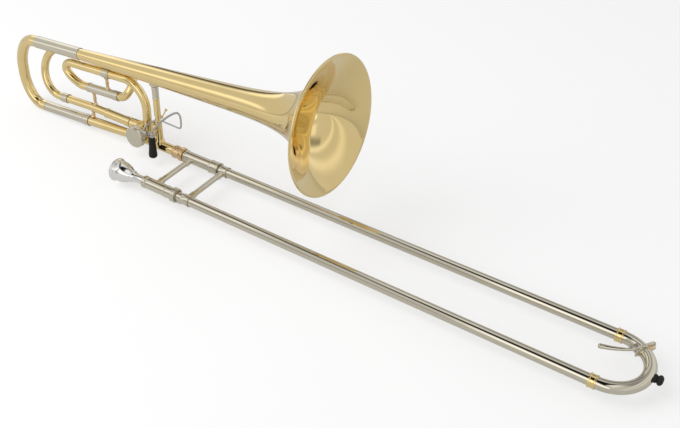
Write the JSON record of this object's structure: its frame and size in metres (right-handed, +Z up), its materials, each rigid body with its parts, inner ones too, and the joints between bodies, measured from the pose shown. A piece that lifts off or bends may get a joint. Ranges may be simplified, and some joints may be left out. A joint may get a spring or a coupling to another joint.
{
  "type": "tenor trombone",
  "caption": "Tenor trombone with an F attachment: bell, two tuning slides, rotary valve with thumb lever, and a sliding hand slide with a water key.",
  "frame": {"origin": "centre of the bottom of the bounding box, with the hand slide level", "axes": "+X forward along the hand slide towards its end bow, +Z up towards the bell, +Y towards the bell side of the slide"},
  "size_m": [1.1894, 0.2284, 0.2774],
  "materials": {
    "lacquered_brass": "polished and lacquered",
    "nickel_silver": "polished",
    "rose_brass": "polished and lacquered",
    "bright_steel": "polished",
    "black_rubber": "matte"
  },
  "bodies": {
    "body": {"bell_flare": "lacquered_brass", "bell_stem": "lacquered_brass", "upper_tuning_sleeve": "nickel_silver", "lower_tuning_sleeve": "nickel_silver", "gooseneck": "lacquered_brass", "slide_receiver": "lacquered_brass", "bell_brace_post": "nickel_silver", "bell_brace_socket": "lacquered_brass", "rotor_casing": "nickel_silver", "bearing_plate": "nickel_silver", "valve_cap": "nickel_silver", "stop_bumper_upper": "black_rubber", "stop_bumper_lower": "black_rubber", "lever_bracket": "bright_steel", "lever_spring": "bright_steel", "f_rear_tube": "lacquered_brass", "f_rear_sleeve": "lacquered_brass", "f_rear_ferrule": "nickel_silver", "f_big_bow": "lacquered_brass", "f_front_bend": "lacquered_brass", "f_lower_sleeve": "nickel_silver", "f_upper_ferrule": "nickel_silver", "f_down_tube": "lacquered_brass", "f_slide_strut": "nickel_silver", "f_wrap_strut": "nickel_silver", "gooseneck_strut": "nickel_silver", "bell_saddle": "nickel_silver", "inner_tube_far": "nickel_silver", "inner_tube_near": "nickel_silver", "cork_barrel_far": "nickel_silver", "cork_barrel_near": "nickel_silver", "inner_brace": "nickel_silver", "mouthpiece_receiver": "nickel_silver"},
    "main_slide": {"main_tuning_bow": "lacquered_brass", "upper_tuning_leg": "nickel_silver", "lower_tuning_leg": "nickel_silver"},
    "f_slide": {"f_tuning_bow": "lacquered_brass", "f_lower_leg": "nickel_silver", "f_upper_leg": "nickel_silver"},
    "valve_rotor": {"rotor": "nickel_silver", "stop_arm": "bright_steel"},
    "lever": {"thumb_lever": "bright_steel", "lever_sleeve": "black_rubber"},
    "link": {"link_rod": "bright_steel"},
    "nut": {"lock_nut": "lacquered_brass"},
    "lock_ring": {"slide_lock_ring": "nickel_silver"},
    "outer_slide": {"outer_tube_far": "nickel_silver", "outer_tube_near": "nickel_silver", "slide_collar_far": "rose_brass", "slide_collar_near": "rose_brass", "outer_brace": "nickel_silver", "slide_bow": "nickel_silver", "slide_ferrule_far": "rose_brass", "slide_ferrule_near": "rose_brass", "slide_bumper": "black_rubber", "drain_nipple": "rose_brass", "water_key_saddle": "nickel_silver", "water_key_spring": "nickel_silver"},
    "drain_key": {"water_key": "nickel_silver"},
    "cup": {"mouthpiece": "nickel_silver"}
  },
  "joints": [
    {"name": "hand_slide", "type": "slide", "parent": "body", "child": "outer_slide", "axis": [1, 0, 0], "range_m": [0, 0.58]},
    {"name": "main_tuning_slide", "type": "slide", "parent": "body", "child": "main_slide", "axis": [-0.9979, -0.0056, -0.0643], "range_m": [0, 0.06]},
    {"name": "f_tuning_slide", "type": "slide", "parent": "body", "child": "f_slide", "axis": [-0.9979, -0.0056, -0.0643], "range_m": [0, 0.025]},
    {"name": "thumb_lever", "type": "hinge", "parent": "body", "child": "lever", "pos_m": [-0.26261, -0.02078, 0.05469], "axis": [-0.9979, -0.0056, -0.0643], "range_deg": [0, 22], "stiffness_Nm_per_rad": 0.2, "springref_deg": -20.05},
    {"name": "rotor_turn", "type": "hinge", "parent": "body", "child": "valve_rotor", "pos_m": [-0.28962, -0.00228, 0.03673], "axis": [0, 0.9962, -0.0872], "range_deg": [0, 90]},
    {"name": "link_turn", "type": "hinge", "parent": "lever", "child": "link", "pos_m": [-0.27163, 0.02701, 0.05827], "axis": [0.9979, 0.0056, 0.0643], "range_deg": [0, 22]},
    {"name": "lock_nut", "type": "hinge", "parent": "body", "child": "nut", "pos_m": [-0.20589, -0.00325, 0.02568], "axis": [1, 0, 0], "continuous": true},
    {"name": "slide_lock", "type": "hinge", "parent": "body", "child": "lock_ring", "pos_m": [-0.13689, -0.09524, 0.02568], "axis": [1, 0, 0], "range_deg": [0, 30]},
    {"name": "mouthpiece_pull", "type": "slide", "parent": "body", "child": "cup", "axis": [-1, 0, 0], "range_m": [0, 0.03]},
    {"name": "water_key", "type": "hinge", "parent": "outer_slide", "child": "drain_key", "pos_m": [0.54889, -0.02385, 0.03419], "axis": [0.8192, -0.5736, 0], "range_deg": [0, 14], "stiffness_Nm_per_rad": 0.06, "springref_deg": -20.05}
  ],
  "couplings": [
    {"joint": "rotor_turn", "follows": "thumb_lever", "ratio": 4.0909},
    {"joint": "link_turn", "follows": "thumb_lever", "ratio": 1}
  ]
}
